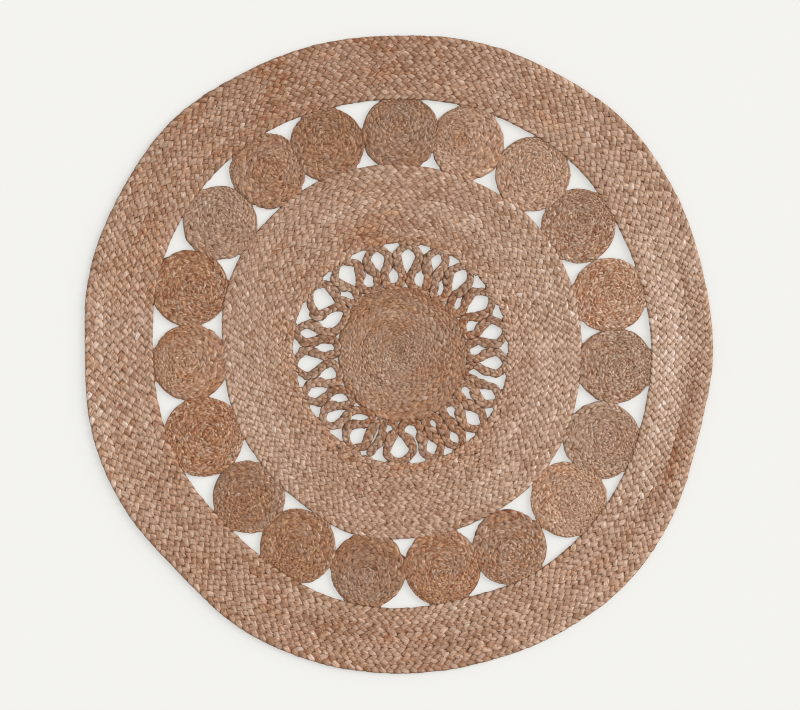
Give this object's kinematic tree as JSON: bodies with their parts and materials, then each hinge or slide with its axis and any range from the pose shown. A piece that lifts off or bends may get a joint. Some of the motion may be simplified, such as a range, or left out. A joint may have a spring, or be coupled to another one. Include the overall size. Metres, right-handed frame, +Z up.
{
  "type": "round openwork jute rug",
  "caption": "Round flat rug sewn from coiled jute braid: a centre disc, a ring of open loops, a wide coiled ring, a ring of small coiled discs and a wide coiled border.",
  "frame": {"origin": "middle of the rug's box, on the underside that lies on the floor", "axes": "+Z up, out of the rug's upper face; +X to the right and +Y to the top of the picture, which looks straight down"},
  "size_m": [1.1832, 1.202, 0.009],
  "materials": {
    "border_jute": "coarse braided jute, matt",
    "middle_jute": "coarse braided jute, matt",
    "medallion_jute": "braided jute, matt, each disc a little different in colour",
    "loop_jute": "braided jute, matt",
    "disc_jute": "fine braided jute, matt"
  },
  "bodies": {
    "root": {"border": "border_jute", "middle_ring": "middle_jute", "loop_braid": "loop_jute", "centre_disc": "disc_jute", "medallion_01": "medallion_jute", "medallion_02": "medallion_jute", "medallion_03": "medallion_jute", "medallion_04": "medallion_jute", "medallion_05": "medallion_jute", "medallion_06": "medallion_jute", "medallion_07": "medallion_jute", "medallion_08": "medallion_jute", "medallion_09": "medallion_jute", "medallion_10": "medallion_jute", "medallion_11": "medallion_jute", "medallion_12": "medallion_jute", "medallion_13": "medallion_jute", "medallion_14": "medallion_jute", "medallion_15": "medallion_jute", "medallion_16": "medallion_jute", "medallion_17": "medallion_jute", "medallion_18": "medallion_jute", "medallion_19": "medallion_jute"}
  },
  "joints": []
}
